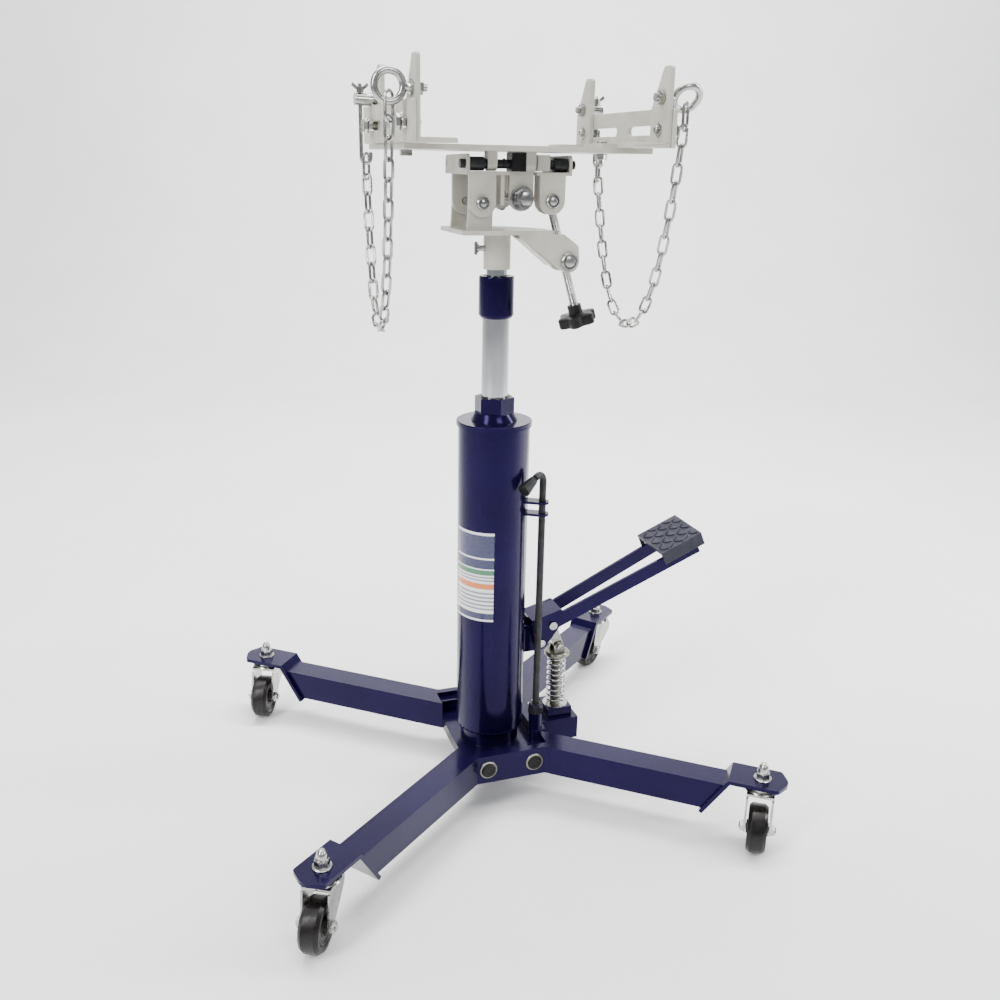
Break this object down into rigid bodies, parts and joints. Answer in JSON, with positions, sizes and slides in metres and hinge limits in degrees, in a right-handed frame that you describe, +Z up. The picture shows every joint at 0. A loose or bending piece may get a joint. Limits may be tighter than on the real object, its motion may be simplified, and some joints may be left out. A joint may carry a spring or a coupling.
{
  "type": "transmission jack",
  "caption": "Floor-standing telescopic hydraulic jack on four casters, with a foot pump and a tilting saddle head that has posts and retaining chains.",
  "frame": {"origin": "on the floor at the middle of the bounds; the hydraulic column stands 11 mm behind it, in +Y", "axes": "+Z up the column, +X towards the foot pedal, -Y towards the front with the side tilt screw"},
  "size_m": [0.73, 0.7029, 1.083],
  "materials": {
    "navy_paint": "gloss navy enamel",
    "cream_paint": "satin off-white powder coat",
    "chrome": "polished ram",
    "steel": "machined",
    "spring_steel": "plated spring",
    "zinc": "zinc plated",
    "black_steel": "black oxide",
    "black_plastic": "moulded black",
    "wheel_rubber": "hard black wheel",
    "tread_rubber": "grey-blue checker tread"
  },
  "bodies": {
    "base": {"base_block": "navy_paint", "rear_leg_frame": "navy_paint", "front_leg_frame": "navy_paint", "reservoir": "navy_paint", "main_cylinder": "steel", "reservoir_cap": "navy_paint", "pedal_pin": "zinc", "return_spring": "spring_steel", "caster_fl_stem": "zinc", "caster_fr_stem": "zinc", "caster_rl_stem": "zinc", "caster_rr_stem": "zinc"},
    "fl_swivel": {"caster_fl_fork": "zinc"},
    "fl_roller": {"caster_fl_wheel": "wheel_rubber"},
    "fr_swivel": {"caster_fr_fork": "zinc"},
    "fr_roller": {"caster_fr_wheel": "wheel_rubber"},
    "rl_swivel": {"caster_rl_fork": "zinc"},
    "rl_roller": {"caster_rl_wheel": "wheel_rubber"},
    "rr_swivel": {"caster_rr_fork": "zinc"},
    "rr_roller": {"caster_rr_wheel": "wheel_rubber"},
    "lower_ram": {"ram_1": "chrome", "ram_1_collar": "navy_paint"},
    "upper_ram": {"ram_2": "chrome"},
    "head": {"head_base": "cream_paint", "side_pivot_bolt": "zinc"},
    "set_screw_body": {"set_screw": "zinc"},
    "side_tilter": {"tilt_frame": "cream_paint", "hinge_rod": "black_steel"},
    "upper_pin": {"upper_trunnion": "zinc"},
    "side_screw_body": {"side_screw": "zinc", "side_knob": "black_plastic"},
    "lower_pin": {"lower_trunnion": "zinc"},
    "pitch_screw_body": {"pitch_screw": "zinc", "pitch_knob": "black_plastic"},
    "saddle": {"saddle_plate": "cream_paint", "pitch_nut": "zinc", "saddle_bolt_left": "zinc", "side_bar_left": "cream_paint", "near_post_left": "cream_paint", "far_post_left": "cream_paint", "eye_bolt_left": "zinc", "hook_sleeve_left": "zinc", "hook_bolt_left": "zinc", "chain_left": "zinc", "saddle_bolt_right": "zinc", "side_bar_right": "cream_paint", "near_post_right": "cream_paint", "far_post_right": "cream_paint", "eye_bolt_right": "zinc", "hook_sleeve_right": "zinc", "hook_bolt_right": "zinc", "chain_right": "zinc"},
    "pedal": {"pedal_lever": "navy_paint", "pedal_tread": "tread_rubber", "crank_pin": "zinc"},
    "link": {"pump_link": "zinc"},
    "plunger": {"pump_plunger": "steel", "link_pin": "zinc"},
    "release": {"release_rod": "black_steel", "release_grip": "black_plastic"}
  },
  "joints": [
    {"name": "fl_swivel_turn", "type": "hinge", "parent": "base", "child": "fl_swivel", "pos_m": [-0.326, -0.293, 0.088], "axis": [0, 0, 1], "continuous": true},
    {"name": "fl_wheel_roll", "type": "hinge", "parent": "fl_swivel", "child": "fl_roller", "pos_m": [-0.339, -0.31552, 0.0365], "axis": [0.866, -0.5, 0], "continuous": true},
    {"name": "fr_swivel_turn", "type": "hinge", "parent": "base", "child": "fr_swivel", "pos_m": [0.326, -0.293, 0.088], "axis": [0, 0, 1], "continuous": true},
    {"name": "fr_wheel_roll", "type": "hinge", "parent": "fr_swivel", "child": "fr_roller", "pos_m": [0.31109, -0.3143, 0.0365], "axis": [0.8192, -0.5736, 0], "continuous": true},
    {"name": "rl_swivel_turn", "type": "hinge", "parent": "base", "child": "rl_swivel", "pos_m": [-0.326, 0.315, 0.088], "axis": [0, 0, 1], "continuous": true},
    {"name": "rl_wheel_roll", "type": "hinge", "parent": "rl_swivel", "child": "rl_roller", "pos_m": [-0.33699, 0.29144, 0.0365], "axis": [0.9063, -0.4226, 0], "continuous": true},
    {"name": "rr_swivel_turn", "type": "hinge", "parent": "base", "child": "rr_swivel", "pos_m": [0.326, 0.315, 0.088], "axis": [0, 0, 1], "continuous": true},
    {"name": "rr_wheel_roll", "type": "hinge", "parent": "rr_swivel", "child": "rr_roller", "pos_m": [0.30497, 0.29972, 0.0365], "axis": [0.5878, -0.809, 0], "continuous": true},
    {"name": "lower_ram_lift", "type": "slide", "parent": "base", "child": "lower_ram", "axis": [0, 0, 1], "range_m": [-0.115, 0.3]},
    {"name": "upper_ram_lift", "type": "slide", "parent": "lower_ram", "child": "upper_ram", "axis": [0, 0, 1], "range_m": [-0.008, 0.4]},
    {"name": "head_swivel", "type": "hinge", "parent": "upper_ram", "child": "head", "pos_m": [0, 0.011, 0.84], "axis": [0, 0, 1], "continuous": true},
    {"name": "set_screw_turn", "type": "hinge", "parent": "head", "child": "set_screw_body", "pos_m": [-0.024, 0.011, 0.848], "axis": [1, 0, 0], "continuous": true},
    {"name": "side_tilt", "type": "hinge", "parent": "head", "child": "side_tilter", "pos_m": [-0.04, 0.011, 0.911], "axis": [0, -1, 0], "range_deg": [-5, 8]},
    {"name": "upper_pin_turn", "type": "hinge", "parent": "side_tilter", "child": "upper_pin", "pos_m": [0.0605, -0.031, 0.914], "axis": [0, -1, 0], "range_deg": [-10.3, 6.5]},
    {"name": "side_screw_turn", "type": "hinge", "parent": "upper_pin", "child": "side_screw_body", "pos_m": [0.0605, -0.031, 0.914], "axis": [0.2873, 0, -0.9578], "continuous": true},
    {"name": "lower_pin_turn", "type": "hinge", "parent": "head", "child": "lower_pin", "pos_m": [0.0845, -0.031, 0.834], "axis": [0, -1, 0], "range_deg": [-2.3, 1.5]},
    {"name": "saddle_pitch", "type": "hinge", "parent": "side_tilter", "child": "saddle", "pos_m": [0, -0.032, 0.961], "axis": [1, 0, 0], "range_deg": [-2, 8]},
    {"name": "pitch_screw_turn", "type": "hinge", "parent": "side_tilter", "child": "pitch_screw_body", "pos_m": [0.018, 0.011, 0.9173], "axis": [0, 1, 0], "continuous": true},
    {"name": "pedal_press", "type": "hinge", "parent": "base", "child": "pedal", "pos_m": [0.0785, 0.011, 0.228], "axis": [0, 1, 0], "range_deg": [0, 22], "stiffness_Nm_per_rad": 12, "springref_deg": -20.05},
    {"name": "plunger_stroke", "type": "slide", "parent": "base", "child": "plunger", "axis": [0, 0, 1], "range_m": [-0.0122, 0], "deforming": ["return_spring"]},
    {"name": "link_swing", "type": "hinge", "parent": "plunger", "child": "link", "pos_m": [0.1165, 0.011, 0.21], "axis": [0, 1, 0], "range_deg": [0, 11.3]},
    {"name": "release_turn", "type": "hinge", "parent": "base", "child": "release", "pos_m": [0.066, -0.029, 0.11], "axis": [0, 0, 1], "range_deg": [0, 90]}
  ],
  "couplings": [
    {"joint": "upper_pin_turn", "follows": "side_tilt", "ratio": -1.26},
    {"joint": "lower_pin_turn", "follows": "side_tilt", "ratio": -0.26},
    {"joint": "plunger_stroke", "follows": "pedal_press", "m_per_rad": -0.0313},
    {"joint": "link_swing", "follows": "pedal_press", "ratio": 0.5045}
  ]
}
